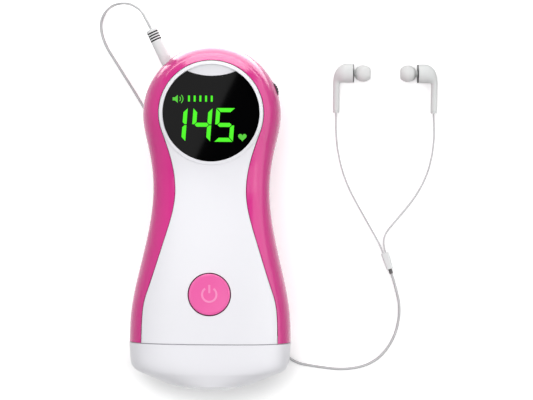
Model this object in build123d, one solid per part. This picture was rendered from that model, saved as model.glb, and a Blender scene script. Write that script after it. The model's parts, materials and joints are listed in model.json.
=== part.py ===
from build123d import *
import os
from math import asin, cos, degrees, pi, radians, sin, tan

# Hand-held heartbeat monitor lying on its back, with its earphones plugged in.
# Millimetres.  +X is the right-hand side, +Y runs towards the round head and
# +Z towards the front face; z = 0 is the surface that the back rests on.

# ---- Driving dimensions: outer form of the body ----
HEAD_Y = 45.3            # centre of the round head
HEAD_R = 30.3            # half width of the head
WAIST_Y = 10.0           # narrowest place of the grip
WAIST_HALF = 25.6        # half width of the grip there
SEAM_Y = -54.3           # where the body meets the probe housing
BASE_HALF = 35.4         # half width at that seam
PARTING_Z = 20.0         # height of the widest line round the body
FRONT_HEAD_Z = 41.6      # crown of the front over the head, before the display is let in
FRONT_WAIST_Z = 35.4     # crown of the front at the waist
FRONT_BASE_Z = 42.0      # crown of the front over the base
HOLLOW_Z = 5.8           # crown of the back at the waist: the finger hollow
BACK_SINK = 1.0          # how far the crowned back is cut off flat where it rests
FULLNESS = 0.72          # fullness of each quarter section; 0.55 would be an ellipse
WALL = 2.0               # moulded wall of the housing parts

# ---- Seam between the white covers and the pink side frame ----
SEAM_LAND = 0.4          # cover left between the window's rim and the round part of the seam
SEAM_WAIST_HALF = 15.4
SEAM_BASE_HALF = 29.5
SEAM_TURN = -20.0        # degrees on the head circle where the seam leaves it
SEAM_GAP = 0.24          # gap between the covers and the side frame
LIP_REACH = 1.5          # lip of the side frame behind the edges of the covers
LIP_T = 1.0
LIP_FIT = 0.1
LIP_Y0 = -51.0           # the lip runs along the grip, between probe and display
LIP_Y1 = 27.0

# ---- Display ----
WINDOW_R = 21.0          # recess for the black window
WINDOW_FIT = 0.1         # gap round the window
WINDOW_T = 1.4
WINDOW_TOP_Z = 36.0
DECK_T = 1.7             # cover floor under the window
NOTCH_R = 27.2           # arc that cuts the top of the window
NOTCH_UP = 43.3          # its centre above the head centre
BROW_TOP_Z = 37.6        # upper end of the sloping brow between window and rim
COLLAR_W = 1.35          # raised rim round the window
COLLAR_RISE = 0.4
DIGIT_H = 14.6           # seven-segment figures
DIGIT_W = 8.25
SEGMENT_W = 1.75
DIGIT_SLANT = 4.0        # degrees
DIGIT_MITRE = 0.22       # gap between neighbouring segments
DIGIT_DEPTH = 0.15       # how deep the lit segments sit in the window
DIGIT_PROUD = 0.03       # how far they stand out of it
DIGIT_Y = -5.1           # middle of the figures, from the head centre
DIGIT_XS = (-14.7, -4.0, 5.9)
DIGIT_TEXT = "145"
BAR_COUNT = 5            # volume level bars
BAR_W = 0.85
BAR_H = 2.6
BAR_PITCH = 2.46
BAR_X = -9.6             # first bar, from the head centre
BAR_Y = 6.2
MODULE_W = 31.0          # display module behind the deck
MODULE_H = 20.0
MODULE_GAP = 0.2

# ---- Circuit board ----
BOARD_Z = 25.0           # underside
BOARD_T = 1.6
BOARD_HEAD_R = 26.8
BOARD_HALF = 19.0        # half width of its straight part
BOARD_END_Y = -49.5
POST_R = 2.0             # posts that carry the board
BOARD_POSTS = [(19.0, 42.0), (-19.0, 42.0), (14.2, -10.0), (-14.2, -10.0), (15.5, -46.0), (-15.5, -46.0)]
BOARD_SCREW_R = 1.0
BOARD_SCREW_HEAD_R = 1.8
BOARD_SCREW_HEAD_T = 1.2
BOARD_SCREW_LENGTH = 5.0

# ---- Housing screws, from the back ----
HOUSING_SCREWS = [(0.0, 64.6), (12.0, 28.6), (-12.0, 28.6), (23.6, -45.0), (-23.6, -45.0)]
SCREW_R = 1.25
SCREW_HEAD_R = 2.3
SCREW_HEAD_T = 1.6
SCREW_LENGTH = 12.0
SCREW_SEAT_Z = 8.4       # where the screw heads bear
COLUMN_R = 3.0           # screw columns of the rear cover and bosses of the front cover
COLUMN_END_Z = 16.0      # where columns and bosses meet
PILOT_FIT = 0.05

# ---- Power button and its switch ----
BUTTON_Y = -32.9
BUTTON_R = 8.9
BUTTON_GAP = 0.45        # gap round the cap
BUTTON_DISH = 0.35       # hollow of its top
BUTTON_RIM = 1.1         # rim left round the hollow
BUTTON_PROUD = 1.1       # top of the cap above the cover
BUTTON_TRAVEL = 1.0
BUTTON_FLANGE = 1.5      # how far its flange reaches beyond the cap
BUTTON_FLANGE_T = 1.2
BUTTON_CAP_T = 4.1
BUTTON_STEM_R = 1.6
SWITCH_SIZE = 6.0
SWITCH_H = 3.4
PLUNGER_R = 1.5
PLUNGER_H = 2.6
SLIDE_FIT = 0.1          # radial gap of the plunger in the switch

# ---- Volume wheel ----
WHEEL_R = 5.5
WHEEL_T = 2.4
WHEEL_Z = 21.2           # underside
WHEEL_ANGLE = 22.0       # degrees round the head
WHEEL_PROUD = 0.8        # how far it stands out of the side
WHEEL_TEETH = 28
WHEEL_TOOTH = 0.22       # depth of the knurl
WHEEL_GAP = 0.35
SHAFT_R = 1.5
SHAFT_FIT = 0.05

# ---- Earphone socket and plug ----
JACK_X = -20.0           # where the socket's axis leaves the side of the head
JACK_Y = 68.0
JACK_Z = 22.0
JACK_TILT = 25.95        # degrees from +Y towards -X
JACK_BODY_W = 6.2
JACK_BODY_H = 5.6
JACK_BODY_START = 4.2    # depths along the axis, from the outer surface inwards
JACK_BODY_END = 16.6
JACK_NOSE_R = 2.9
JACK_NOSE_DEPTH = 1.0
JACK_HOLE_FIT = 0.2
PLUG_PIN_R = 1.75        # 3.5 mm plug
PLUG_PIN_LENGTH = 14.0
PLUG_FIT = 0.1
PIN_RINGS = (4.5, 7.5)   # insulating rings, from the start of the pin
PIN_RING_W = 0.5
PIN_RING_DEPTH = 0.12
PIN_CHAMFER = 0.8
PLUG_R = 2.5
PLUG_REACH = 15.95       # barrel outside the head
PLUG_GAP = 0.1
GROOVE_COUNT = 4
GROOVE_FIRST = 1.3
GROOVE_PITCH = 1.15
GROOVE_W = 0.6
GROOVE_DEPTH = 0.55

# ---- Battery bay and door ----
BATTERY_R = 5.25         # AAA cells
BATTERY_LENGTH = 44.5
BATTERY_PITCH = 11.2
BATTERY_GAP = 0.3
CONTACT_T = 0.4
SPRING_LENGTH = 1.4
BAY_WALL = 1.2
BAY_END_Y = -49.6        # inner end towards the probe
DOOR_MARGIN = 0.6        # how far the bay reaches beyond the door at each end
DOOR_GAP = 0.3
DOOR_TAB_W = 4.0
DOOR_TAB_T = 1.1
DOOR_TAB_REACH = 0.9
GRIP_COUNT = 5           # finger grooves across the door's upper end
GRIP_PITCH = 1.7
GRIP_W = 0.8
GRIP_DEPTH = 0.5
GRIP_HALF = 6.5

# ---- Speaker in the back of the grip ----
SPEAKER_Y = 12.5
SPEAKER_R = 10.0
SPEAKER_Z = 9.4
SPEAKER_FRAME_H = 3.0
MAGNET_R = 5.6
MAGNET_H = 3.0
SPEAKER_RIM = 1.6
GRILLE_HOLE_R = 0.8
GRILLE_PITCH = 2.9
GRILLE_RINGS = 2

# ---- Probe housing, lens and transducer ----
RIM_Y = -72.9            # mouth that carries the lens
LENS_R = 18.2
LENS_SAG = 2.6
LENS_T = 2.0
LENS_FIT = 0.1
LEDGE_T = 1.2            # ledge that the lens bears on
LEDGE_REACH = 1.8
MOUTH_EDGE = 0.3         # rim left round the lens
CIRCLE_FULLNESS = 0.5523 # fullness of a quarter that is a circle
SPIGOT_LENGTH = 2.4
SPIGOT_FIT = 0.15
SPIGOT_T = 1.3
GASKET_T = 0.4
GASKET_INSET = 0.6
GASKET_W = 1.0
CRYSTAL_R = 14.0
CRYSTAL_T = 1.2
CRYSTAL_SPLIT = 1.2
BACKING_T = 4.0

# ---- Cords, splitter and earphones ----
MAIN_CORD_D = 1.2
BRANCH_CORD_D = 0.8
SPLITTER_W_TOP = 3.7
SPLITTER_W_END = 3.0
SPLITTER_T = 2.4
SPLITTER_COLLAR_R = 0.85
SPLITTER_COLLAR_LENGTH = 2.2
SPLITTER_END = (79.9, -22.6)
SPLITTER_TOP = (77.5, -15.4)
BRANCH_OFFSETS = (-0.75, 0.4)
BUD_R = 4.2
BUD_Y = 64.9
BUD_XS = (62.9, 91.3)    # ring planes of the left and right earpieces
BUD_BODY = 5.5
BUD_RING_T = 0.5
BUD_STEM_R = 1.42
BUD_STEM_REACH = 17.7
STEM_GROOVE = 0.9        # fine groove near the stem's end
STEM_GROOVE_W = 0.3
STEM_GROOVE_DEPTH = 0.2
NOZZLE_R = 1.5
NOZZLE_LENGTH = 5.4
TIP_R = 3.72
TIP_LENGTH = 6.7
TIP_START = 0.8
TIP_NECK = 2.05          # radius where the tip starts, next to the ring
TIP_MOUTH = 2.2          # radius of its open end
TIP_FIT = 0.05
ELBOW_HEEL = 0.8         # inner radius of the elbow
ELBOW = [(22.0, 2.95), (45.0, 2.05), (90.0, 1.45)]      # turn in degrees and radius of its sections
STEM_FOOT = (-BUD_BODY - ELBOW_HEEL - BUD_STEM_R, -BUD_STEM_REACH, 0.0)

# Routes of the cords where they lie free, after the plug and before the splitter
FLOOR_MAIN = MAIN_CORD_D / 2
FLOOR_BRANCH = BRANCH_CORD_D / 2
MAIN_ROUTE = [
    Vector(-32.2, 91.8, 17.5), Vector(-38.5, 95.3, 10.5), Vector(-46.4, 94.5, 3.6),
    Vector(-51.3, 88.0, FLOOR_MAIN), Vector(-49.7, 78.5, FLOOR_MAIN), Vector(-43.2, 68.2, FLOOR_MAIN),
    Vector(-34.0, 53.8, FLOOR_MAIN), Vector(-25.6, 39.5, FLOOR_MAIN), Vector(-17.6, 26.0, FLOOR_MAIN),
    Vector(-8.5, 14.5, FLOOR_MAIN), Vector(4.5, 8.6, FLOOR_MAIN), Vector(17.0, 3.5, FLOOR_MAIN),
    Vector(25.8, -8.0, FLOOR_MAIN), Vector(28.9, -24.0, FLOOR_MAIN), Vector(29.4, -40.0, FLOOR_MAIN),
    Vector(31.0, -57.6, FLOOR_MAIN), Vector(36.2, -64.8, FLOOR_MAIN), Vector(47.5, -66.9, FLOOR_MAIN),
    Vector(61.5, -68.8, FLOOR_MAIN), Vector(74.6, -64.8, FLOOR_MAIN), Vector(82.8, -54.0, FLOOR_MAIN),
    Vector(85.3, -41.0, FLOOR_MAIN),
]
BRANCH_ROUTES = [
    [Vector(75.6, -12.2, 1.2), Vector(71.9, -5.6, FLOOR_BRANCH), Vector(66.0, 4.6, FLOOR_BRANCH),
     Vector(60.2, 15.4, FLOOR_BRANCH), Vector(56.7, 26.5, FLOOR_BRANCH), Vector(55.3, 36.5, FLOOR_BRANCH)],
    [Vector(76.8, -12.2, 1.2), Vector(77.4, -7.0, FLOOR_BRANCH), Vector(82.6, -0.8, FLOOR_BRANCH),
     Vector(90.6, 8.8, FLOOR_BRANCH), Vector(96.3, 19.2, FLOOR_BRANCH), Vector(98.9, 30.0, FLOOR_BRANCH),
     Vector(99.5, 38.0, FLOOR_BRANCH)],
]

# ---- Values that follow from the sizes above ----
BACK_FLAT_Z = -BACK_SINK
BOARD_TOP_Z = BOARD_Z + BOARD_T
PROBE_Z = (FRONT_BASE_Z + BACK_FLAT_Z) / 2
BASE_DEPTH_HALF = (FRONT_BASE_Z - BACK_FLAT_Z) / 2
MOUTH_R = LENS_R + MOUTH_EDGE
SEAM_HEAD_R = WINDOW_R + COLLAR_W + SEAM_LAND
DECK_Z = WINDOW_TOP_Z - WINDOW_T
DECK_UNDER_Z = DECK_Z - DECK_T
BIG = 120.0
BAY_LENGTH = BATTERY_LENGTH + 2 * CONTACT_T + 2 * SPRING_LENGTH
BAY_TOP_Y = BAY_END_Y + BAY_LENGTH
BAY_HALF = BATTERY_PITCH / 2 + BATTERY_R + 2 * BATTERY_GAP
DOOR_HALF = BAY_HALF - DOOR_GAP
BATTERY_Z = WALL + 1.6 + BATTERY_R
BAY_ROOF_Z = BATTERY_Z + BATTERY_R + BATTERY_GAP
DOOR_Y0 = BAY_END_Y + DOOR_MARGIN
DOOR_Y1 = BAY_TOP_Y - DOOR_MARGIN
WHEEL_CENTRE_R = HEAD_R + WHEEL_PROUD - WHEEL_R
WHEEL_X = WHEEL_CENTRE_R * cos(radians(WHEEL_ANGLE))
WHEEL_Y = HEAD_Y + WHEEL_CENTRE_R * sin(radians(WHEEL_ANGLE))

# Shares of the way from the probe seam to the waist: length, width, front and back
LOWER_FLARE = [(0.0, 0.0, 0.0, 0.0), (0.145, 0.03, 0.0, 0.0), (0.33, 0.19, 0.0, 0.0), (0.565, 0.54, 0.18, 0.0),
               (0.78, 0.84, 0.6, 0.12), (1.0, 1.0, 1.0, 1.0)]
# Shares of the way from the waist to the head
UPPER_FLARE = [(0.4, 0.2, 0.12, 0.42), (0.74, 0.745, 0.68, 0.92), (1.0, 1.0, 1.0, 1.0)]
# Shares of the way from the probe seam to the lens: length, width and thickness
SHOULDER_ROWS = [(0.0, 0.0, 0.0), (0.15, 0.005, 0.0), (0.3, 0.015, 0.0), (0.53, 0.053, 0.03),
                 (0.66, 0.15, 0.12), (0.74, 0.32, 0.25)]
MOUTH_ROW = (1.0, 1.0, 1.0)


def between(start, end, share):
    return start + (end - start) * share


def block(x0, x1, y0, y1, z0, z1):
    """Box between two corners."""
    size = Box(x1 - x0, y1 - y0, z1 - z0)
    return Pos((x0 + x1) / 2, (y0 + y1) / 2, (z0 + z1) / 2) * size


def post(x, y, z0, z1, radius):
    """Upright round bar."""
    return Pos(x, y, (z0 + z1) / 2) * Cylinder(radius, z1 - z0)


def bar_y(x, y0, y1, z, radius):
    """Round bar along Y."""
    return Pos(x, (y0 + y1) / 2, z) * Rot(90, 0, 0) * Cylinder(radius, y1 - y0)


def turned(points, placed=Pos(0, 0, 0)):
    """Solid of revolution about Z from (radius, z) corners."""
    outline = Polyline(*[(r, 0, z) for r, z in points], close=True)
    return placed * revolve(make_face(outline), Axis.Z, 360)


# ---- Outer form ----
def stations():
    """Y, half width, front crown and back crown of each section of the body."""
    rows = []
    for share, width, front, back in LOWER_FLARE:
        rows.append((
            between(SEAM_Y, WAIST_Y, share),
            between(BASE_HALF, WAIST_HALF, width),
            between(FRONT_BASE_Z, FRONT_WAIST_Z, front),
            between(BACK_FLAT_Z, HOLLOW_Z, back),
        ))
    for share, width, front, back in UPPER_FLARE:
        rows.append((
            between(WAIST_Y, HEAD_Y, share),
            between(WAIST_HALF, HEAD_R, width),
            between(FRONT_WAIST_Z, FRONT_HEAD_Z, front),
            between(HOLLOW_Z, BACK_FLAT_Z, back),
        ))
    return rows


def quarter(y, half, crown_z, side=1, middle_z=PARTING_Z, fullness=FULLNESS):
    """One quarter of a crowned section, from its side line to its crown."""
    rise = crown_z - middle_z
    return [
        (side * half, y, middle_z),
        (side * half, y, middle_z + fullness * rise),
        (side * fullness * half, y, crown_z),
        (0, y, crown_z),
    ]


def section(y, half, front_z, back_z, middle_z=PARTING_Z, fullness=FULLNESS):
    """Closed crowned section across the body."""
    return Wire([
        Bezier(*quarter(y, half, front_z, 1, middle_z, fullness)),
        Bezier(*quarter(y, half, front_z, -1, middle_z, fullness)[::-1]),
        Bezier(*quarter(y, half, back_z, -1, middle_z, fullness)),
        Bezier(*quarter(y, half, back_z, 1, middle_z, fullness)[::-1]),
    ])


def body_form(inset=0.0):
    """The whole body without the probe housing: lofted grip and revolved head."""
    rows = [(y, half - inset, front_z - inset, back_z + inset) for y, half, front_z, back_z in stations()]
    grip = Solid.make_loft([section(*row) for row in rows])
    y, half, front_z, back_z = rows[-1]
    back_edge = Bezier(*quarter(y, half, back_z)[::-1])
    front_edge = Bezier(*quarter(y, half, front_z))
    axis_edge = Line((0, y, front_z), (0, y, back_z))
    rim = make_face(Wire([back_edge, front_edge, axis_edge]))
    head = revolve(rim, Axis((0, y, 0), (0, 0, 1)), 180)
    return (grip + head) & block(-BIG, BIG, -BIG, BIG, inset, BIG)


def keyhole(grow, z0, z1):
    """Upright prism inside the keyhole seam, grown outwards by grow."""
    turn = radians(SEAM_TURN)
    radius = SEAM_HEAD_R + grow
    start_x = radius * cos(turn)
    start_y = HEAD_Y + radius * sin(turn)
    waist = SEAM_WAIST_HALF + grow
    base = SEAM_BASE_HALF + grow
    foot_y = SEAM_Y - 1
    side = [
        (start_x, start_y),
        (between(waist, start_x, 0.3), between(WAIST_Y, start_y, 0.54)),
        (waist, WAIST_Y + 1),
        (between(waist, base, 0.32), between(WAIST_Y, SEAM_Y, 0.305)),
        (between(waist, base, 0.79), between(WAIST_Y, SEAM_Y, 0.63)),
        (base, foot_y),
    ]
    leaving = (sin(turn), -cos(turn))
    right = Spline(*side, tangents=[leaving, (0, -1)])
    left = Spline(*[(-x, y) for x, y in side], tangents=[(-leaving[0], leaving[1]), (0, -1)])
    top = ThreePointArc(side[0], (0, HEAD_Y + radius), (-start_x, start_y))
    foot = Line((base, foot_y), (-base, foot_y))
    return Pos(0, 0, z0) * extrude(make_face(Wire([right, foot, left, top])), z1 - z0)


# ---- Places along the socket's axis ----
def on_jack(depth):
    """Plane across the socket's axis at a depth inside the surface, facing outwards."""
    out = (-sin(radians(JACK_TILT)), cos(radians(JACK_TILT)), 0)
    origin = (JACK_X - out[0] * depth, JACK_Y - out[1] * depth, JACK_Z)
    return Plane(origin=origin, x_dir=(out[1], -out[0], 0), z_dir=out)


def jack_bar(depth0, depth1, radius):
    """Round bar on the socket's axis between two depths, deeper one first."""
    return extrude(on_jack(depth0) * Circle(radius), depth0 - depth1)


OUTER = body_form()
INNER = body_form(WALL)
SHELL = OUTER - INNER


# ---- Housing ----
def collar():
    """Raised rim round the window, which follows the crown of the front."""
    wall = post(0, HEAD_Y, DECK_UNDER_Z, BIG, WINDOW_R + COLLAR_W) - post(0, HEAD_Y, 0, BIG, WINDOW_R)
    return body_form(-COLLAR_RISE) & wall


def front_cover():
    """White front: keyhole plate with collar, window deck, button hole and bosses."""
    inside = keyhole(-SEAM_GAP / 2, PARTING_Z, BIG)
    deck = post(0, HEAD_Y, DECK_UNDER_Z, DECK_Z, SEAM_HEAD_R - 0.5)
    brow_y0 = HEAD_Y + NOTCH_UP - NOTCH_R - 0.5
    brow_y1 = HEAD_Y + WINDOW_R
    wedge = make_face(Polyline((-WINDOW_R, brow_y0, DECK_Z), (-WINDOW_R, brow_y0, WINDOW_TOP_Z),
                               (-WINDOW_R, brow_y1, BROW_TOP_Z), (-WINDOW_R, brow_y1, DECK_Z), close=True))
    brow = extrude(wedge, 2 * WINDOW_R, dir=(1, 0, 0)) & post(0, HEAD_Y, 0, BIG, WINDOW_R)
    brow = brow & post(0, HEAD_Y + NOTCH_UP, 0, BIG, NOTCH_R)
    cover = SHELL - post(0, HEAD_Y, PARTING_Z, BIG, WINDOW_R)
    cover = (cover + collar()) & inside
    cover = cover + deck + brow
    bosses = [post(x, y, BOARD_TOP_Z, BIG, POST_R) for x, y in BOARD_POSTS]
    bosses += [post(x, y, COLUMN_END_Z, BIG, COLUMN_R) for x, y in HOUSING_SCREWS]
    room = OUTER - post(0, HEAD_Y, DECK_Z - 0.5, BIG, WINDOW_R + 0.5)
    cover = cover + [boss & room for boss in bosses]
    module = block(-MODULE_W / 2, MODULE_W / 2, -MODULE_H / 2, MODULE_H / 2, 0, BIG)
    cuts = [Pos(0, HEAD_Y + DIGIT_Y + 2.2, DECK_UNDER_Z - 1) * module]
    cuts.append(post(0, BUTTON_Y, BOARD_TOP_Z, BIG, BUTTON_R + BUTTON_GAP))
    for x, y in BOARD_POSTS:
        cuts.append(post(x, y, 0, BOARD_TOP_Z + BOARD_SCREW_LENGTH, BOARD_SCREW_R + PILOT_FIT))
    for x, y in HOUSING_SCREWS:
        cuts.append(post(x, y, 0, SCREW_SEAT_Z + SCREW_LENGTH + 1, SCREW_R + PILOT_FIT))
    return cover - cuts


def grille_holes():
    """Round holes on a triangular grid in front of the speaker."""
    holes = []
    for row in range(-GRILLE_RINGS, GRILLE_RINGS + 1):
        count = 2 * GRILLE_RINGS + 1 - abs(row)
        for column in range(count):
            x = (column - (count - 1) / 2) * GRILLE_PITCH
            y = SPEAKER_Y + row * GRILLE_PITCH * sin(pi / 3)
            holes.append(post(x, y, 0, SPEAKER_Z, GRILLE_HOLE_R))
    return holes


def rear_cover():
    """White back: keyhole plate with battery bay, speaker seat, grille and screw columns."""
    cover = SHELL & keyhole(-SEAM_GAP / 2, 0, PARTING_Z)
    bay = block(-BAY_HALF - BAY_WALL, BAY_HALF + BAY_WALL, BAY_END_Y - BAY_WALL, BAY_TOP_Y + BAY_WALL,
                WALL / 2, BAY_ROOF_Z + BAY_WALL)
    seat = post(0, SPEAKER_Y, HOLLOW_Z / 2, SPEAKER_Z, SPEAKER_R + 0.6)
    columns = [post(x, y, 0, COLUMN_END_Z, COLUMN_R) for x, y in HOUSING_SCREWS]
    cover = cover + [piece & OUTER for piece in [bay, seat] + columns]
    cuts = [block(-BAY_HALF, BAY_HALF, BAY_END_Y, BAY_TOP_Y, WALL, BAY_ROOF_Z)]
    cuts.append(block(-BAY_HALF, BAY_HALF, DOOR_Y0 - DOOR_GAP, DOOR_Y1 + DOOR_GAP, -1, WALL))
    cuts.append(post(0, SPEAKER_Y, HOLLOW_Z + WALL, SPEAKER_Z, SPEAKER_R - SPEAKER_RIM))
    for x in (-DOOR_HALF / 2, DOOR_HALF / 2):
        cuts.append(block(x - DOOR_TAB_W / 2 - DOOR_GAP, x + DOOR_TAB_W / 2 + DOOR_GAP,
                          BAY_END_Y - BAY_WALL, BAY_END_Y, WALL, WALL + DOOR_TAB_T + 2 * DOOR_GAP))
    for x, y in HOUSING_SCREWS:
        cuts.append(post(x, y, -1, SCREW_SEAT_Z, SCREW_HEAD_R + 0.2))
        cuts.append(post(x, y, 0, COLUMN_END_Z + 1, SCREW_R + 0.15))
    return cover - cuts - grille_holes()


def frame_lips():
    """Lips inside the side frame that the edges of both covers rest on."""
    inner = body_form(WALL + LIP_FIT + LIP_T)
    root = (body_form(WALL - LIP_T / 3) - inner) & (keyhole(LIP_REACH, -1, BIG) - keyhole(SEAM_GAP / 2, -1, BIG))
    ledge = body_form(WALL + LIP_FIT) - inner
    ledge = ledge & (keyhole(SEAM_GAP, -1, BIG) - keyhole(-LIP_REACH, -1, BIG))
    return (root + ledge) & block(-BIG, BIG, LIP_Y0, LIP_Y1, -1, BIG)


def side_frame():
    """Pink band round head, grip and base, with its lips, the wheel slot and the socket hole."""
    frame = SHELL - keyhole(SEAM_GAP / 2, -1, BIG)
    frame = frame + frame_lips()
    slot = post(WHEEL_X, WHEEL_Y, WHEEL_Z - WHEEL_GAP, WHEEL_Z + WHEEL_T + WHEEL_GAP, WHEEL_R + WHEEL_GAP)
    socket = jack_bar(JACK_BODY_START + 1, -4, JACK_NOSE_R + JACK_HOLE_FIT)
    return frame - slot - socket


def battery_door():
    """Flat door of the battery bay, with two hooks at its lower edge."""
    door = SHELL & block(-DOOR_HALF, DOOR_HALF, DOOR_Y0, DOOR_Y1, -1, WALL)
    for x in (-DOOR_HALF / 2, DOOR_HALF / 2):
        door = door + block(x - DOOR_TAB_W / 2, x + DOOR_TAB_W / 2, DOOR_Y0 - DOOR_TAB_REACH, DOOR_Y0 + 2,
                            WALL, WALL + DOOR_TAB_T)
    for index in range(GRIP_COUNT):
        y = DOOR_Y1 - 3.0 - index * GRIP_PITCH
        door = door - block(-GRIP_HALF, GRIP_HALF, y - GRIP_W / 2, y + GRIP_W / 2, -1, GRIP_DEPTH)
    return door


# ---- Display ----
def display_window():
    """Black window: a disc whose top is cut by an arc, with pockets for the lit segments."""
    pane = post(0, HEAD_Y, DECK_Z, WINDOW_TOP_Z, WINDOW_R - WINDOW_FIT)
    notch = post(0, HEAD_Y + NOTCH_UP, 0, BIG, NOTCH_R + WINDOW_FIT)
    pockets = digit_segments() + level_bars()
    return pane - notch - pockets


def display_module():
    """Light-emitting module between the board and the deck."""
    half_w = MODULE_W / 2 - MODULE_GAP
    half_h = MODULE_H / 2 - MODULE_GAP
    middle_y = HEAD_Y + DIGIT_Y + 2.2
    return block(-half_w, half_w, middle_y - half_h, middle_y + half_h, BOARD_TOP_Z, DECK_Z - MODULE_GAP)


def segment_shapes():
    """Corners of the seven segments of an upright figure centred on the origin."""
    x = DIGIT_W / 2
    y = DIGIT_H / 2
    wide = SEGMENT_W
    gap = DIGIT_MITRE
    top = [(-x + gap, y), (x - gap, y), (x - wide - gap, y - wide), (-x + wide + gap, y - wide)]
    side = [(x, y - gap), (x, gap), (x - wide / 2, gap), (x - wide, wide / 2 + gap), (x - wide, y - wide - gap)]
    upper = [(-x + wide / 2 + gap, 0), (-x + wide + gap, wide / 2), (x - wide - gap, wide / 2)]
    return {
        "a": top, "d": [(a, -b) for a, b in top],
        "b": side, "c": [(a, -b) for a, b in side], "f": [(-a, b) for a, b in side],
        "g": upper + [(-a, -b) for a, b in upper],
    }


def digit_segments():
    """Lit segments of the three figures."""
    lit = {"1": "bc", "4": "bcfg", "5": "acdfg"}
    lean = tan(radians(DIGIT_SLANT))
    shapes = []
    for figure, middle_x in zip(DIGIT_TEXT, DIGIT_XS):
        for name in lit[figure]:
            corners = [(middle_x + a + lean * b, HEAD_Y + DIGIT_Y + b) for a, b in segment_shapes()[name]]
            shapes.append(make_face(Polyline(*corners, close=True)))
    floor_z = WINDOW_TOP_Z - DIGIT_DEPTH
    return [Pos(0, 0, floor_z) * extrude(shape, DIGIT_DEPTH + DIGIT_PROUD) for shape in shapes]


def level_bars():
    """Row of volume level bars."""
    bars = []
    for index in range(BAR_COUNT):
        x = BAR_X + index * BAR_PITCH
        y = HEAD_Y + BAR_Y
        bars.append(block(x - BAR_W / 2, x + BAR_W / 2, y - BAR_H / 2, y + BAR_H / 2,
                          WINDOW_TOP_Z - DIGIT_DEPTH, WINDOW_TOP_Z + DIGIT_PROUD))
    return bars


# ---- Board and what it carries ----
def main_board():
    """Circuit board that follows the keyhole of the housing."""
    board = post(0, HEAD_Y, BOARD_Z, BOARD_TOP_Z, BOARD_HEAD_R)
    board = board + block(-BOARD_HALF, BOARD_HALF, BOARD_END_Y, HEAD_Y, BOARD_Z, BOARD_TOP_Z)
    cuts = [post(x, y, 0, BIG, BOARD_SCREW_R + 0.1) for x, y in BOARD_POSTS]
    cuts += [post(x, y, 0, BIG, COLUMN_R + 0.4) for x, y in HOUSING_SCREWS]
    return board - cuts


def screw(x, y, seat_z, shank_r, head_r, head_t, length):
    """Pan-head screw pointing up, with a cross recess in its head."""
    body = post(x, y, seat_z - head_t, seat_z, head_r) + post(x, y, seat_z, seat_z + length, shank_r)
    slot = Box(head_r * 1.2, head_r * 0.3, head_t)
    cross = [Pos(x, y, seat_z - head_t) * Rot(0, 0, turn) * slot for turn in (0, 90)]
    return body - cross


def board_screws():
    return [screw(x, y, BOARD_Z, BOARD_SCREW_R, BOARD_SCREW_HEAD_R, BOARD_SCREW_HEAD_T,
                  BOARD_T + BOARD_SCREW_LENGTH - 1) for x, y in BOARD_POSTS]


def housing_screws():
    return [screw(x, y, SCREW_SEAT_Z, SCREW_R, SCREW_HEAD_R, SCREW_HEAD_T, SCREW_LENGTH)
            for x, y in HOUSING_SCREWS]


def power_button():
    """Round crowned cap with a flange under the cover and a stem down to the switch."""
    top_z = FRONT_BASE_Z + BUTTON_PROUD - 0.6
    flange_z = top_z - BUTTON_CAP_T
    cap = post(0, BUTTON_Y, flange_z, top_z, BUTTON_R)
    cap = fillet(cap.edges().group_by(Axis.Z)[-1], 0.7)
    dish_r = BUTTON_R - BUTTON_RIM
    ball_r = (dish_r ** 2 + BUTTON_DISH ** 2) / (2 * BUTTON_DISH)
    cap = cap - Pos(0, BUTTON_Y, top_z + ball_r - BUTTON_DISH) * Sphere(ball_r)
    flange = post(0, BUTTON_Y, flange_z - BUTTON_FLANGE_T, flange_z, BUTTON_R + BUTTON_FLANGE)
    stem = post(0, BUTTON_Y, BOARD_TOP_Z + SWITCH_H + PLUNGER_H - 1.2, flange_z, BUTTON_STEM_R)
    return cap + flange + stem


def power_switch():
    """Square switch on the board with a bore for its plunger."""
    half = SWITCH_SIZE / 2
    body = block(-half, half, BUTTON_Y - half, BUTTON_Y + half, BOARD_TOP_Z, BOARD_TOP_Z + SWITCH_H)
    return body - post(0, BUTTON_Y, BOARD_TOP_Z + 0.6, BIG, PLUNGER_R + SLIDE_FIT)


def switch_plunger():
    """Plunger that the stem bears on."""
    top_z = BOARD_TOP_Z + SWITCH_H + PLUNGER_H - 1.2
    return post(0, BUTTON_Y, top_z - PLUNGER_H, top_z, PLUNGER_R)


def volume_wheel():
    """Knurled thumbwheel."""
    wheel = post(WHEEL_X, WHEEL_Y, WHEEL_Z, WHEEL_Z + WHEEL_T, WHEEL_R)
    wheel = wheel - post(WHEEL_X, WHEEL_Y, 0, BIG, SHAFT_R + SHAFT_FIT)
    teeth = []
    for index in range(WHEEL_TEETH):
        angle = 2 * pi * index / WHEEL_TEETH
        x = WHEEL_X + WHEEL_R * cos(angle)
        y = WHEEL_Y + WHEEL_R * sin(angle)
        teeth.append(post(x, y, 0, BIG, WHEEL_TOOTH))
    return wheel - teeth


def volume_potentiometer():
    """Base on the board, shaft and retaining cap of the thumbwheel."""
    base = post(WHEEL_X, WHEEL_Y, WHEEL_Z + WHEEL_T + 0.15, BOARD_Z, 2.3)
    shaft = post(WHEEL_X, WHEEL_Y, WHEEL_Z - 0.15, BOARD_Z, SHAFT_R)
    cap = post(WHEEL_X, WHEEL_Y, WHEEL_Z - 1.0, WHEEL_Z - 0.15, 2.4)
    return base + shaft + cap


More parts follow.
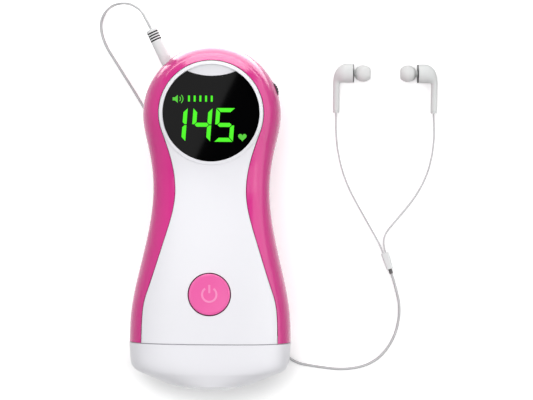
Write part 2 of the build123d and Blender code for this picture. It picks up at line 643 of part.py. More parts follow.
def jack_socket():
    """Earphone socket hung under the board."""
    plane = on_jack(JACK_BODY_END)
    body = extrude(plane * Rectangle(JACK_BODY_W, JACK_BODY_H), JACK_BODY_END - JACK_BODY_START)
    bore = jack_bar(PLUG_PIN_LENGTH + JACK_NOSE_DEPTH + 0.6, 0, PLUG_PIN_R + PLUG_FIT)
    return body + jack_bar(JACK_BODY_START, JACK_BODY_START - 1.2, JACK_NOSE_R) - bore


def jack_ring():
    """Plated ring of the socket in the wall of the side frame."""
    ring = jack_bar(JACK_BODY_START - 1.2, JACK_NOSE_DEPTH, JACK_NOSE_R)
    return ring - jack_bar(JACK_BODY_START, 0, PLUG_PIN_R + PLUG_FIT)


def plug_contacts():
    """Metal pin of the plug: sleeve, rings and tip."""
    start = JACK_NOSE_DEPTH - PLUG_GAP
    pin = jack_bar(start + PLUG_PIN_LENGTH, start, PLUG_PIN_R)
    pin = chamfer(pin.faces().sort_by(Axis.Y)[0].edges(), PIN_CHAMFER)
    for depth in PIN_RINGS:
        pin = pin - (jack_bar(start + depth + PIN_RING_W, start + depth, PLUG_PIN_R + 1)
                     - jack_bar(start + depth + PIN_RING_W, start + depth, PLUG_PIN_R - PIN_RING_DEPTH))
    return pin


def plug_barrel():
    """White grip of the plug with ring grooves at its cord end."""
    barrel = jack_bar(JACK_NOSE_DEPTH - PLUG_GAP, -PLUG_REACH, PLUG_R)
    rear = barrel.faces().sort_by(Axis.Y)[-1]
    barrel = fillet(rear.edges(), 0.5)
    for index in range(GROOVE_COUNT):
        outer_end = -PLUG_REACH + GROOVE_FIRST + index * GROOVE_PITCH
        groove = jack_bar(outer_end + GROOVE_W, outer_end, PLUG_R + 1)
        core = jack_bar(outer_end + GROOVE_W, outer_end, PLUG_R - GROOVE_DEPTH)
        barrel = barrel - (groove - core)
    return barrel


# ---- Power ----
def batteries():
    """Two AAA cells side by side."""
    y0 = BAY_END_Y + CONTACT_T + SPRING_LENGTH
    cells = []
    for x in (-BATTERY_PITCH / 2, BATTERY_PITCH / 2):
        can = bar_y(x, y0, y0 + BATTERY_LENGTH - 1.0, BATTERY_Z, BATTERY_R)
        nub = bar_y(x, y0 + BATTERY_LENGTH - 1.0, y0 + BATTERY_LENGTH, BATTERY_Z, 1.9)
        cells.append(can + nub)
    return cells


def battery_contacts():
    """End plates and coned springs."""
    parts = []
    for x in (-BATTERY_PITCH / 2, BATTERY_PITCH / 2):
        for wall_y, way in ((BAY_END_Y, 1), (BAY_TOP_Y, -1)):
            plate_y = wall_y + way * CONTACT_T
            low_y, high_y = sorted((wall_y, plate_y))
            plate = block(x - 4.5, x + 4.5, low_y, high_y, BATTERY_Z - 4, BATTERY_Z + 4)
            cone = Cone(3.4, 1.8, SPRING_LENGTH - 0.05)
            place = Pos(x, plate_y + way * (SPRING_LENGTH - 0.05) / 2, BATTERY_Z) * Rot(-90 * way, 0, 0)
            parts.append(plate + place * cone)
    return parts


# ---- Speaker ----
def speaker():
    """Basket ring and magnet."""
    basket = post(0, SPEAKER_Y, SPEAKER_Z, SPEAKER_Z + SPEAKER_FRAME_H, SPEAKER_R)
    basket = basket - post(0, SPEAKER_Y, SPEAKER_Z, SPEAKER_Z + SPEAKER_FRAME_H - 0.6, SPEAKER_R - SPEAKER_RIM)
    magnet_z = SPEAKER_Z + SPEAKER_FRAME_H
    return basket + post(0, SPEAKER_Y, magnet_z, magnet_z + MAGNET_H, MAGNET_R)


def speaker_cone():
    """Shallow cone diaphragm with a domed cap."""
    edge_r = SPEAKER_R - SPEAKER_RIM - 0.1
    profile = [(0, 1.3), (2.4, 1.7), (edge_r - 1, 0.4), (edge_r, 0.4), (edge_r, 0.8), (edge_r - 1, 0.8),
               (2.4, 2.3), (0, 2.3)]
    return turned(profile, Pos(0, SPEAKER_Y, SPEAKER_Z))


# ---- Probe ----
def probe_form(inset=0.0):
    """Base of the monitor: upright wall, rounded shoulder and slope to a round mouth."""
    end_y = RIM_Y + inset
    sections = []
    for share, narrowing, thinning in SHOULDER_ROWS + [MOUTH_ROW]:
        half = between(BASE_HALF, MOUTH_R, narrowing) - inset * (1 - narrowing)
        depth = between(BASE_DEPTH_HALF, MOUTH_R, thinning) - inset * (1 - thinning)
        fullness = between(FULLNESS, CIRCLE_FULLNESS, narrowing)
        sections.append(section(between(SEAM_Y, end_y, share), half, PROBE_Z + depth, PROBE_Z - depth,
                                middle_z=between(PARTING_Z, PROBE_Z, narrowing), fullness=fullness))
    wall = Solid.make_loft(sections[:-1])
    slope = Solid.make_loft(sections[-2:], True)
    return (wall + slope) & block(-BIG, BIG, -BIG, BIG, inset, BIG)


def probe_housing():
    """White base with a tongue that enters the body and a ledge behind its mouth."""
    shell = (probe_form() - probe_form(WALL)) & block(-BIG, BIG, -BIG, SEAM_Y - GASKET_T, -BIG, BIG)
    tongue = body_form(WALL + SPIGOT_FIT) - body_form(WALL + SPIGOT_FIT + SPIGOT_T)
    tongue = tongue & block(-BIG, BIG, SEAM_Y, SEAM_Y + SPIGOT_LENGTH, 0, BIG)
    root = probe_form(WALL - GASKET_T) - probe_form(WALL + SPIGOT_FIT + SPIGOT_T)
    collar = probe_form(WALL + SPIGOT_FIT) - probe_form(WALL + SPIGOT_FIT + SPIGOT_T)
    tongue = tongue + (collar & block(-BIG, BIG, SEAM_Y - SPIGOT_LENGTH, SEAM_Y, -BIG, BIG))
    tongue = tongue + (root & block(-BIG, BIG, SEAM_Y - SPIGOT_LENGTH, SEAM_Y - GASKET_T, -BIG, BIG))
    ledge_y = RIM_Y + LENS_T
    ledge = bar_y(0, ledge_y, ledge_y + LEDGE_T, PROBE_Z, LENS_R + 1.0)
    bore = bar_y(0, RIM_Y - 5, ledge_y + LEDGE_T, PROBE_Z, LENS_R - LEDGE_REACH)
    mouth = bar_y(0, RIM_Y - 5, ledge_y, PROBE_Z, LENS_R)
    return shell + tongue + (ledge & probe_form()) - bore - mouth


def probe_gasket():
    """Rubber ring between the body and the probe housing, set back from the surface."""
    ring = body_form(GASKET_INSET) - body_form(GASKET_INSET + GASKET_W)
    slice_y = block(-BIG, BIG, SEAM_Y, SEAM_Y + GASKET_T, -BIG, BIG)
    return Pos(0, -GASKET_T, 0) * (ring & slice_y)


def acoustic_lens():
    """Domed face that touches the skin."""
    radius = LENS_R - LENS_FIT
    dome_r = (radius ** 2 + LENS_SAG ** 2) / (2 * LENS_SAG)
    half = asin(radius / dome_r) / 2
    rim = Line((radius, 0, 0), (radius, 0, -LENS_T))
    rear = Line((radius, 0, -LENS_T), (0, 0, -LENS_T))
    core = Line((0, 0, -LENS_T), (0, 0, LENS_SAG))
    crest = ThreePointArc((0, 0, LENS_SAG), (dome_r * sin(half), 0, LENS_SAG - dome_r * (1 - cos(half))),
                          (radius, 0, 0))
    lens = revolve(make_face(Wire([rim, rear, core, crest])), Axis.Z, 360)
    return Pos(0, RIM_Y, PROBE_Z) * Rot(90, 0, 0) * lens


def transducer_crystals():
    """Two half discs, one that sends and one that listens."""
    y0 = RIM_Y + LENS_T
    disc = bar_y(0, y0, y0 + CRYSTAL_T, PROBE_Z, CRYSTAL_R)
    gap = block(-CRYSTAL_SPLIT / 2, CRYSTAL_SPLIT / 2, -BIG, BIG, -BIG, BIG)
    return (disc - gap).solids()


def transducer_backing():
    """Damping block behind the crystals."""
    y0 = RIM_Y + LENS_T + CRYSTAL_T
    return bar_y(0, y0, y0 + BACKING_T, PROBE_Z, CRYSTAL_R + 1)


# ---- Cords ----
def cord(route, diameter):
    """Round cord along straight runs joined by arcs as large as the runs allow."""
    points = [Vector(*point) for point in route]
    radii = []
    for before, corner, after in zip(points, points[1:], points[2:]):
        arriving = corner - before
        leaving = after - corner
        turn = radians(arriving.get_angle(leaving))
        radii.append(0.45 * min(arriving.length, leaving.length) / tan(turn / 2))
    path = FilletPolyline(*points, radius=radii)
    start = Plane(origin=points[0], z_dir=points[1] - points[0])
    tube = sweep(start * Circle(diameter / 2), path=path)
    print("cord", diameter, "length", round(path.length, 1), "volume ratio",
          round(tube.volume / (pi * diameter ** 2 / 4 * path.length), 4), "radii", [round(r, 1) for r in radii])
    return tube


def plug_rear():
    """Centre of the plug's rear face and the way the cord leaves it."""
    plane = on_jack(-PLUG_REACH)
    return plane.origin, plane.z_dir


def main_cord():
    start, way = plug_rear()
    return cord([start, start + way * 5.0] + MAIN_ROUTE + [splitter_foot(6.0), splitter_foot(0)], MAIN_CORD_D)


def splitter_way():
    """Direction along the splitter, from the main cord to the branches."""
    return (Vector(*SPLITTER_TOP, 0) - Vector(*SPLITTER_END, 0)).normalized()


def splitter_foot(distance):
    """Point on the axis, a distance outside the splitter's cord collar."""
    foot = Vector(*SPLITTER_END, SPLITTER_T / 2)
    return foot - splitter_way() * (SPLITTER_COLLAR_LENGTH + distance)


def y_splitter():
    """Flat wedge where the main cord divides."""
    way = splitter_way()
    lower = Plane(origin=Vector(*SPLITTER_END, SPLITTER_T / 2), x_dir=(way.Y, -way.X, 0), z_dir=way)
    upper = Plane(origin=Vector(*SPLITTER_TOP, SPLITTER_T / 2), x_dir=(way.Y, -way.X, 0), z_dir=way)
    foot = lower * RectangleRounded(SPLITTER_W_END, SPLITTER_T, SPLITTER_T * 0.4)
    head = upper * RectangleRounded(SPLITTER_W_TOP, SPLITTER_T, SPLITTER_T * 0.4)
    return loft([foot, head])


def splitter_collar():
    """Dark sleeve round the main cord where it enters the splitter."""
    way = splitter_way()
    plane = Plane(origin=Vector(*SPLITTER_END, SPLITTER_T / 2), z_dir=way * -1)
    return extrude(plane * Circle(SPLITTER_COLLAR_R), SPLITTER_COLLAR_LENGTH)


def branch_cord(side):
    """Thin cord from the splitter to one earpiece."""
    way = splitter_way()
    across = Vector(way.Y, -way.X, 0)
    start = Vector(*SPLITTER_TOP, SPLITTER_T / 2) + across * BRANCH_OFFSETS[side]
    end, along = stem_end(side)
    return cord([start] + BRANCH_ROUTES[side] + [end + along * 2.2, end], BRANCH_CORD_D)


# ---- Earpieces ----
def bud_place(side):
    """Location of an earpiece: its axis along X, its stem down to the surface."""
    lean = degrees(asin((BUD_R - BUD_STEM_R) / BUD_STEM_REACH))
    place = Pos(BUD_XS[side], BUD_Y, BUD_R) * Rot(lean, 0, 0)
    return place * Rot(0, 180, 0) if side else place


def stem_end(side):
    """Centre of the stem's end face and the way the cord leaves it."""
    place = bud_place(side)
    end = (place * Pos(*STEM_FOOT)).position
    further = (place * Pos(STEM_FOOT[0], STEM_FOOT[1] - 1, 0)).position
    return end, further - end


def earbud_housing(side):
    """Round housing that bends into a slim stem."""
    sections = [Plane(origin=(-BUD_RING_T, 0, 0), z_dir=(-1, 0, 0)) * Circle(BUD_R)]
    sections.append(Plane(origin=(-BUD_BODY + 1.2, 0, 0), z_dir=(-1, 0, 0)) * Circle(BUD_R))
    body = loft(sections)
    pivot_x = -BUD_BODY
    pivot_y = -BUD_R - ELBOW_HEEL
    bend = []
    for angle, radius in ELBOW:
        way = Vector(-sin(radians(angle)), cos(radians(angle)), 0)
        centre = Vector(pivot_x, pivot_y, 0) + way * (radius + ELBOW_HEEL)
        normal = Vector(-cos(radians(angle)), -sin(radians(angle)), 0)
        bend.append(Plane(origin=centre, x_dir=way, z_dir=normal) * Circle(radius))
    start = Plane(origin=(-BUD_BODY + 1.2, 0, 0), x_dir=(0, 1, 0), z_dir=(-1, 0, 0)) * Circle(BUD_R)
    foot = Plane(origin=STEM_FOOT, x_dir=(-1, 0, 0), z_dir=(0, -1, 0)) * Circle(BUD_STEM_R)
    elbow = loft([start] + bend)
    stem = loft([bend[-1], foot])
    band = Pos(STEM_FOOT[0], STEM_GROOVE - BUD_STEM_REACH, 0) * Rot(90, 0, 0)
    groove = Cylinder(BUD_STEM_R + 1, STEM_GROOVE_W) - Cylinder(BUD_STEM_R - STEM_GROOVE_DEPTH, STEM_GROOVE_W)
    return bud_place(side) * (body + elbow + stem - band * groove)


def earbud_ring(side):
    """Dark trim ring in front of the housing."""
    ring = Rot(0, 90, 0) * Cylinder(BUD_R - 0.08, BUD_RING_T)
    return bud_place(side) * Pos(-BUD_RING_T / 2, 0, 0) * ring


def earbud_nozzle(side):
    """Sound tube that carries the soft tip."""
    tube = Cylinder(NOZZLE_R, NOZZLE_LENGTH) - Cylinder(NOZZLE_R - 0.6, NOZZLE_LENGTH)
    return bud_place(side) * Pos(NOZZLE_LENGTH / 2, 0, 0) * Rot(0, 90, 0) * tube


def ear_tip(side):
    """Soft mushroom tip round the nozzle, open at its end."""
    bore = NOZZLE_R + TIP_FIT
    reach = TIP_START + TIP_LENGTH
    pull = (8 * TIP_R - TIP_NECK - TIP_MOUTH) / 6
    skirt = Bezier((TIP_NECK, 0, TIP_START), (pull, 0, TIP_START + TIP_LENGTH * 0.26),
                   (pull, 0, TIP_START + TIP_LENGTH * 0.74), (TIP_MOUTH, 0, reach))
    mouth = Line((TIP_MOUTH, 0, reach), (bore, 0, reach - 0.3))
    core = Line((bore, 0, reach - 0.3), (bore, 0, TIP_START))
    foot = Line((bore, 0, TIP_START), (TIP_NECK, 0, TIP_START))
    tip = revolve(make_face(Wire([skirt, mouth, core, foot])), Axis.Z, 360)
    return bud_place(side) * Rot(0, 90, 0) * tip


NODES = {
    "front_cover": front_cover(),
    "rear_cover": rear_cover(),
    "side_frame": side_frame(),
    "battery_door": battery_door(),
    "display_window": display_window(),
    "display_module": display_module(),
    "digit_segments": digit_segments(),
    "level_bars": level_bars(),
    "main_board": main_board(),
    "board_screws": board_screws(),
    "housing_screws": housing_screws(),
    "power_button": power_button(),
    "power_switch": power_switch(),
    "switch_plunger": switch_plunger(),
    "volume_wheel": volume_wheel(),
    "volume_potentiometer": volume_potentiometer(),
    "jack_socket": jack_socket(),
    "jack_ring": jack_ring(),
    "plug_contacts": plug_contacts(),
    "plug_barrel": plug_barrel(),
    "batteries": batteries(),
    "battery_contacts": battery_contacts(),
    "speaker": speaker(),
    "speaker_cone": speaker_cone(),
    "probe_housing": probe_housing(),
    "probe_gasket": probe_gasket(),
    "acoustic_lens": acoustic_lens(),
    "transducer_crystals": transducer_crystals(),
    "transducer_backing": transducer_backing(),
    "main_cord": main_cord(),
    "y_splitter": y_splitter(),
    "splitter_collar": splitter_collar(),
}
for side, name in enumerate(("left", "right")):
    NODES[name + "_branch_cord"] = branch_cord(side)
    NODES[name + "_earbud_housing"] = earbud_housing(side)
    NODES[name + "_earbud_ring"] = earbud_ring(side)
    NODES[name + "_earbud_nozzle"] = earbud_nozzle(side)
    NODES[name + "_ear_tip"] = ear_tip(side)

os.makedirs("parts", exist_ok=True)
for name, shape in NODES.items():
    if isinstance(shape, list):
        shape = Compound(children=[Part(piece.wrapped) for piece in shape])
    export_step(shape, "parts/" + name + ".step")
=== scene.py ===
import json
import math

import bmesh
import bpy
from mathutils import Matrix, Vector


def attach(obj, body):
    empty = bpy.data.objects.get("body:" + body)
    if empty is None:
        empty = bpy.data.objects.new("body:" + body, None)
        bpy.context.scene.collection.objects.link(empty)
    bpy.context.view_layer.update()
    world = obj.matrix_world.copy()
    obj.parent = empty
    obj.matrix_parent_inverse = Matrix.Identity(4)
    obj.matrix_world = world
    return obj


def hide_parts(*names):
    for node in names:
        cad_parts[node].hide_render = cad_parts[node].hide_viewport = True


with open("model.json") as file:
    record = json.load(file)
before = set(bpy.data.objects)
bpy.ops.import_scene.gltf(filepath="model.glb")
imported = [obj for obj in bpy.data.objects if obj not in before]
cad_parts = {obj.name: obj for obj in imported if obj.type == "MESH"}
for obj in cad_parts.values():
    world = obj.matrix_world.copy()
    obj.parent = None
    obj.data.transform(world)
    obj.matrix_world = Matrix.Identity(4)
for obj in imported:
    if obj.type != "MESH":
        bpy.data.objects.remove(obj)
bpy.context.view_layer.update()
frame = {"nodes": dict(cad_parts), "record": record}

MM = 0.001
NODES = frame["nodes"]

# ---- Camera: straight down on the monitor, which lies on its back ----
CAMERA_AT = Vector((24.25, 7.9, 920.0)) * MM
CAMERA_ROLL = 0.45           # degrees
CAMERA_LENS = 138.15         # millimetres, as is the sensor
CAMERA_SENSOR = 36.0
CAMERA_CLIP = (0.01, 20.0)   # metres


def make_camera():
    data = bpy.data.cameras.new("camera")
    data.lens = CAMERA_LENS
    data.sensor_width = CAMERA_SENSOR
    data.clip_start, data.clip_end = CAMERA_CLIP
    camera = bpy.data.objects.new("camera", data)
    camera.location = CAMERA_AT
    camera.rotation_euler = (0.0, 0.0, math.radians(CAMERA_ROLL))
    bpy.context.scene.collection.objects.link(camera)
    bpy.context.scene.camera = camera


# ---- Materials ----
DRIFT_SIZE = 0.02            # metres between the lighter and darker patches of a surface
DRIFT_DETAIL = 3.0
DRIFT_ENDS = (0.3, 0.7)      # noise at which a patch is darkest and lightest
GRAIN_SIZE = 0.0004          # metres
GRAIN_DETAIL = 2.0
GRAIN_RISE = 0.2             # height of the grain, as a share of its size
BEVEL_SAMPLES = 6
UNLIT_SHARE = 0.05           # tone of a segment by lamplight alone, as a share of its glow


def add_node(tree, kind, **inputs):
    """Shader node with constants on its own sockets, whose names have blanks for the underscores."""
    node = tree.nodes.new("ShaderNode" + kind)
    for socket, value in inputs.items():
        node.inputs[socket.replace("_", " ")].default_value = value
    return node


def add_math(tree, operation, first, second):
    """Output of a sum on two other outputs."""
    node = add_node(tree, "Math")
    node.operation = operation
    tree.links.new(first, node.inputs[0])
    tree.links.new(second, node.inputs[1])
    return node.outputs[0]


def blank_material(name):
    material = bpy.data.materials.new(name)
    material.use_nodes = True
    tree = material.node_tree
    tree.nodes.clear()
    return material, tree, add_node(tree, "OutputMaterial")


def moulded(name, colour, roughness, spread=0.03, bump=0.02, edge=0.0, **sockets):
    """Plastic or metal with a slow drift of its colour and a fine grain; edge is the radius of its edges."""
    material, tree, output = blank_material(name)
    shader = add_node(tree, "BsdfPrincipled", Roughness=roughness, **sockets)
    tree.links.new(shader.outputs["BSDF"], output.inputs["Surface"])
    place = add_node(tree, "TexCoord")
    drift = add_node(tree, "TexNoise", Scale=1.0 / DRIFT_SIZE, Detail=DRIFT_DETAIL)
    tree.links.new(place.outputs["Object"], drift.inputs["Vector"])
    ramp = add_node(tree, "ValToRGB")
    for end, position, share in zip(ramp.color_ramp.elements, DRIFT_ENDS, (1 - spread, 1 + spread)):
        end.position = position
        end.color = [min(1.0, c * share) for c in colour] + [1.0]
    tree.links.new(drift.outputs["Fac"], ramp.inputs["Fac"])
    tree.links.new(ramp.outputs["Color"], shader.inputs["Base Color"])
    fine = add_node(tree, "TexNoise", Scale=1.0 / GRAIN_SIZE, Detail=GRAIN_DETAIL)
    tree.links.new(place.outputs["Object"], fine.inputs["Vector"])
    relief = add_node(tree, "Bump", Strength=bump, Distance=GRAIN_SIZE * GRAIN_RISE)
    tree.links.new(fine.outputs["Fac"], relief.inputs["Height"])
    if edge:
        soft = add_node(tree, "Bevel", Radius=edge)
        soft.samples = BEVEL_SAMPLES
        tree.links.new(soft.outputs["Normal"], relief.inputs["Normal"])
    tree.links.new(relief.outputs["Normal"], shader.inputs["Normal"])
    return material


def lit(name, glow, strength):
    """Lit segment behind a clear window."""
    return moulded(name, [c * UNLIT_SHARE for c in glow], 0.4, Specular_IOR_Level=0.05,
                   Emission_Color=list(glow) + [1.0], Emission_Strength=strength)


SMALL_EDGE = 0.0002          # metres
SHELL_EDGE = 0.0003
CAP_EDGE = 0.0005

MATERIALS = {
    # the monitor's shells, button and window
    "white_shell": moulded("white_shell", (0.88, 0.875, 0.915), 0.32, spread=0.006, edge=SHELL_EDGE,
                           Specular_IOR_Level=0.18),
    "pink_shell": moulded("pink_shell", (0.70, 0.026, 0.262), 0.18, edge=SHELL_EDGE, Specular_IOR_Level=0.26),
    "pink_button": moulded("pink_button", (0.90, 0.13, 0.42), 0.3, spread=0.02, edge=CAP_EDGE,
                           Specular_IOR_Level=0.3),
    "window": moulded("window", (0.001, 0.001, 0.0012), 0.03, bump=0.0, Specular_IOR_Level=0.08),
    "lens": moulded("lens", (0.84, 0.84, 0.89), 0.25, spread=0.006, edge=SHELL_EDGE),
    "gasket": moulded("gasket", (0.42, 0.40, 0.45), 0.7),
    # dark maroon for the painted shade in the power button's gap
    "gap_shade": moulded("gap_shade", (0.06, 0.006, 0.02), 0.6, Specular_IOR_Level=0.2),
    # figures and signs
    "lit_segment": lit("lit_segment", (0.085, 0.93, 0.025), 1.0),
    "lit_sign": lit("lit_sign", (0.12, 0.72, 0.06), 0.85),
    "sign_pink": moulded("sign_pink", (0.97, 0.29, 0.58), 0.25),
    # insides
    "module": moulded("module", (0.03, 0.03, 0.03), 0.5),
    "board": moulded("board", (0.02, 0.16, 0.07), 0.45),
    "screw": moulded("screw", (0.55, 0.55, 0.56), 0.3, Metallic=1.0),
    "dark_plastic": moulded("dark_plastic", (0.02, 0.02, 0.023), 0.4, edge=SMALL_EDGE),
    "cell": moulded("cell", (0.05, 0.07, 0.12), 0.35, Metallic=0.6),
    "spring_steel": moulded("spring_steel", (0.6, 0.6, 0.6), 0.3, Metallic=1.0),
    "cone": moulded("cone", (0.05, 0.05, 0.05), 0.8),
    "crystal": moulded("crystal", (0.7, 0.66, 0.5), 0.5),
    "backing": moulded("backing", (0.1, 0.1, 0.1), 0.8),
    # earphones
    "nickel": moulded("nickel", (0.75, 0.75, 0.76), 0.18, Metallic=1.0),
    "plug_white": moulded("plug_white", (0.77, 0.785, 0.785), 0.4, spread=0.01, edge=SMALL_EDGE,
                          Specular_IOR_Level=0.3),
    # near-black for the painted shade in the plug's grooves; the dark card uses it too
    "groove": moulded("groove", (0.006, 0.006, 0.006), 0.8, Specular_IOR_Level=0.1),
    "sleeve": moulded("sleeve", (0.12, 0.12, 0.12), 0.5, Specular_IOR_Level=0.2),
    # the cords are white; their grey tone is painted shade that stands for the shade along their edges
    "cord": moulded("cord", (0.54, 0.54, 0.55), 0.4, spread=0.02, Specular_IOR_Level=0.3),
    "thin_cord": moulded("thin_cord", (0.62, 0.62, 0.63), 0.4, spread=0.02, Specular_IOR_Level=0.3),
    "bud_white": moulded("bud_white", (0.735, 0.75, 0.745), 0.45, spread=0.01, edge=SMALL_EDGE,
                         Specular_IOR_Level=0.15),
    "silicone": moulded("silicone", (0.75, 0.755, 0.75), 0.55, spread=0.02, Specular_IOR_Level=0.15),
}
OWN_MATERIAL = {"splitter_collar": "sleeve"}


def dress_nodes():
    """Every node of the frame gets the material of its record slot, or one of its own."""
    for subpart in frame["record"]["subparts"]:
        name = subpart["node"]
        slots = NODES[name].data.materials
        slots.clear()
        slots.append(MATERIALS[OWN_MATERIAL.get(name, subpart["material_slot"])])


# ---- Pieces of the scene; their sizes and places are in millimetres ----
def between(start, end, share):
    return start + (end - start) * share


def add_piece(name, shape, body, material):
    """Object from a closed mesh that moves with a body of the frame."""
    bmesh.ops.recalc_face_normals(shape, faces=shape.faces)
    mesh = bpy.data.meshes.new(name)
    shape.to_mesh(mesh)
    shape.free()
    mesh.materials.append(material)
    piece = bpy.data.objects.new(name, mesh)
    bpy.context.scene.collection.objects.link(piece)
    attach(piece, body)


def slab(name, outlines, low, high, body, material):
    """Closed flat piece from outlines; low and high give its heights at a point."""
    shape = bmesh.new()
    for outline in outlines:
        under = [shape.verts.new((x * MM, y * MM, low(x, y) * MM)) for x, y in outline]
        over = [shape.verts.new((x * MM, y * MM, high(x, y) * MM)) for x, y in outline]
        shape.faces.new(over)
        shape.faces.new(under[::-1])
        for index in range(len(outline)):
            following = (index + 1) % len(outline)
            shape.faces.new((under[index], under[following], over[following], over[index]))
    add_piece(name, shape, body, material)


def join_loops(shape, loops, closed):
    """Skin round four parallel loops of points; loops that aren't closed get a face at each end."""
    count = len(loops[0])
    for a, b in zip(loops, loops[1:] + loops[:1]):
        for k in range(count if closed else count - 1):
            following = (k + 1) % count
            shape.faces.new((a[k], a[following], b[following], b[k]))
    if not closed:
        shape.faces.new([loop[0] for loop in loops])
        shape.faces.new([loop[-1] for loop in loops][::-1])


def arc_band(cx, cy, radius, width, start, end, count=18):
    """Outline of a curved bar between two angles in degrees."""
    angles = [math.radians(between(start, end, k / count)) for k in range(count + 1)]
    outline = []
    for reach, turns in ((radius + width / 2, angles), (radius - width / 2, angles[::-1])):
        outline += [(cx + reach * math.cos(a), cy + reach * math.sin(a)) for a in turns]
    return outline


# ---- Loudspeaker and heart on the display ----
WINDOW_TOP = 36.0
SIGN_T = 0.05                # how far a sign stands out of the window
SPEAKER_AT = (-14.3, 51.3)
HORN_SCALE = 1.25
HORN = ((-1.9, -0.55), (-1.1, -0.55), (-0.1, -1.4), (-0.1, 1.4), (-1.1, 0.55), (-1.9, 0.55))
WAVE_X = -0.2
WAVE_W = 0.38
WAVE_HALF = 48               # degrees
WAVE_RADII = (1.25, 2.3)
HEART_AT = (13.6, 35.0)
HEART_SCALE = 0.115
HEART_POINTS = 40


def window_sign(name, outlines):
    slab(name, outlines, lambda x, y: WINDOW_TOP - SIGN_T, lambda x, y: WINDOW_TOP + SIGN_T, "root",
         MATERIALS["lit_sign"])


def make_speaker_sign():
    x, y = SPEAKER_AT
    horn = [(x + HORN_SCALE * a, y + HORN_SCALE * b) for a, b in HORN]
    waves = [arc_band(x + WAVE_X, y, radius, WAVE_W, -WAVE_HALF, WAVE_HALF) for radius in WAVE_RADII]
    window_sign("speaker_sign", [horn] + waves)


def make_heart_sign():
    """Heart from the usual formula in sines and cosines of one turn."""
    heart = []
    for step in range(HEART_POINTS):
        turn = 2 * math.pi * step / HEART_POINTS
        across = 16 * math.sin(turn) ** 3
        along = 13 * math.cos(turn) - 5 * math.cos(2 * turn) - 2 * math.cos(3 * turn) - math.cos(4 * turn)
        heart.append((HEART_AT[0] + across * HEART_SCALE, HEART_AT[1] + along * HEART_SCALE))
    window_sign("heart_sign", [heart])


# ---- On/off sign in the dish of the power button ----
BUTTON_AT = (0.0, -32.9)
BUTTON_TOP = 42.5
BUTTON_DISH = 0.35
DISH_R = 7.8
POWER_R = 3.1
POWER_W = 0.9
POWER_START = 125            # degrees at which the ring starts, beside its gap
POWER_STEP = 48.33           # degrees of one arc of the ring
POWER_ARCS = 6
POWER_ARC_STEPS = 9
POWER_BAR = (0.6, 2.4, 4.2)  # foot, middle and top of the bar; the middle lets it follow the dish
POWER_SUNK = 0.1
POWER_PROUD = 0.2


def dish_height(x, y):
    """Height of the button's dished top at a point."""
    across = x - BUTTON_AT[0]
    along = y - BUTTON_AT[1]
    return BUTTON_TOP - BUTTON_DISH * (1 - (across ** 2 + along ** 2) / DISH_R ** 2)


def make_power_sign():
    x, y = BUTTON_AT
    bar = [(x - POWER_W / 2, y + POWER_BAR[0])]
    bar += [(x + POWER_W / 2, y + along) for along in POWER_BAR]
    bar += [(x - POWER_W / 2, y + along) for along in POWER_BAR[:0:-1]]
    starts = [POWER_START + POWER_STEP * k for k in range(POWER_ARCS)]
    ring = [arc_band(x, y, POWER_R, POWER_W, start, start + POWER_STEP, POWER_ARC_STEPS) for start in starts]
    slab("power_sign", ring + [bar], lambda a, b: dish_height(a, b) - POWER_SUNK,
         lambda a, b: dish_height(a, b) + POWER_PROUD, "power_button", MATERIALS["sign_pink"])


# ---- Painted shade in the gap round the power button ----
GAP_SHADE_R = (8.98, 9.33)
GAP_SHADE_Z = (39.6, 40.9)
GAP_SHADE_POINTS = 96


def make_gap_shade():
    """Dark ring in the gap between cap and cover, a painted shade for the gap's shadow."""
    x, y = BUTTON_AT
    angles = [2 * math.pi * k / GAP_SHADE_POINTS for k in range(GAP_SHADE_POINTS)]
    shape = bmesh.new()
    loops = []
    for radius, z in ((GAP_SHADE_R[0], GAP_SHADE_Z[0]), (GAP_SHADE_R[1], GAP_SHADE_Z[0]), (GAP_SHADE_R[1], GAP_SHADE_Z[1]),
                      (GAP_SHADE_R[0], GAP_SHADE_Z[1])):
        points = [Vector((x + radius * math.cos(a), y + radius * math.sin(a), z)) * MM for a in angles]
        loops.append([shape.verts.new(point) for point in points])
    join_loops(shape, loops, True)
    add_piece("button_gap_shade", shape, "root", MATERIALS["gap_shade"])


# ---- Painted shade in the plug's grooves ----
JACK_MOUTH = Vector((-20.0, 68.0, 22.0))
JACK_LEAN = math.radians(25.95)  # from straight up in the photo to the left
JACK_OUT = Vector((-math.sin(JACK_LEAN), math.cos(JACK_LEAN), 0.0))
PLUG_R = 2.5
PLUG_REACH = 15.95           # from the socket's mouth to the rear of the plug
GROOVE_COUNT = 4
GROOVE_FIRST = 1.3           # from the rear of the plug to its first groove
GROOVE_PITCH = 1.15
GROOVE_W = 0.6
GROOVE_DEPTH = 0.55
GROOVE_SHADE_FILL = 0.48           # thickness of the band of painted shade in a groove
GROOVE_SHADE_TURNS = (-40, 215)    # degrees round the plug that the bands of painted shade cover; the lit right side stays bare
GROOVE_STEPS = 30


def make_grooves():
    """Painted shade: dark bands that line the plug's grooves and leave their lit right side bare."""
    across = Vector((JACK_OUT.y, -JACK_OUT.x, 0.0))
    low = PLUG_R - GROOVE_DEPTH
    high = low + GROOVE_SHADE_FILL
    angles = [math.radians(between(*GROOVE_SHADE_TURNS, k / GROOVE_STEPS)) for k in range(GROOVE_STEPS + 1)]
    shape = bmesh.new()
    for index in range(GROOVE_COUNT):
        start = PLUG_REACH - GROOVE_FIRST - index * GROOVE_PITCH
        end = start - GROOVE_W
        loops = []
        for reach, radius in ((start, low), (start, high), (end, high), (end, low)):
            centre = JACK_MOUTH + JACK_OUT * reach
            spokes = [across * radius * -math.cos(a) + Vector((0, 0, radius * math.sin(a))) for a in angles]
            loops.append([shape.verts.new((centre + spoke) * MM) for spoke in spokes])
        join_loops(shape, loops, False)
    add_piece("plug_grooves", shape, "root", MATERIALS["groove"])


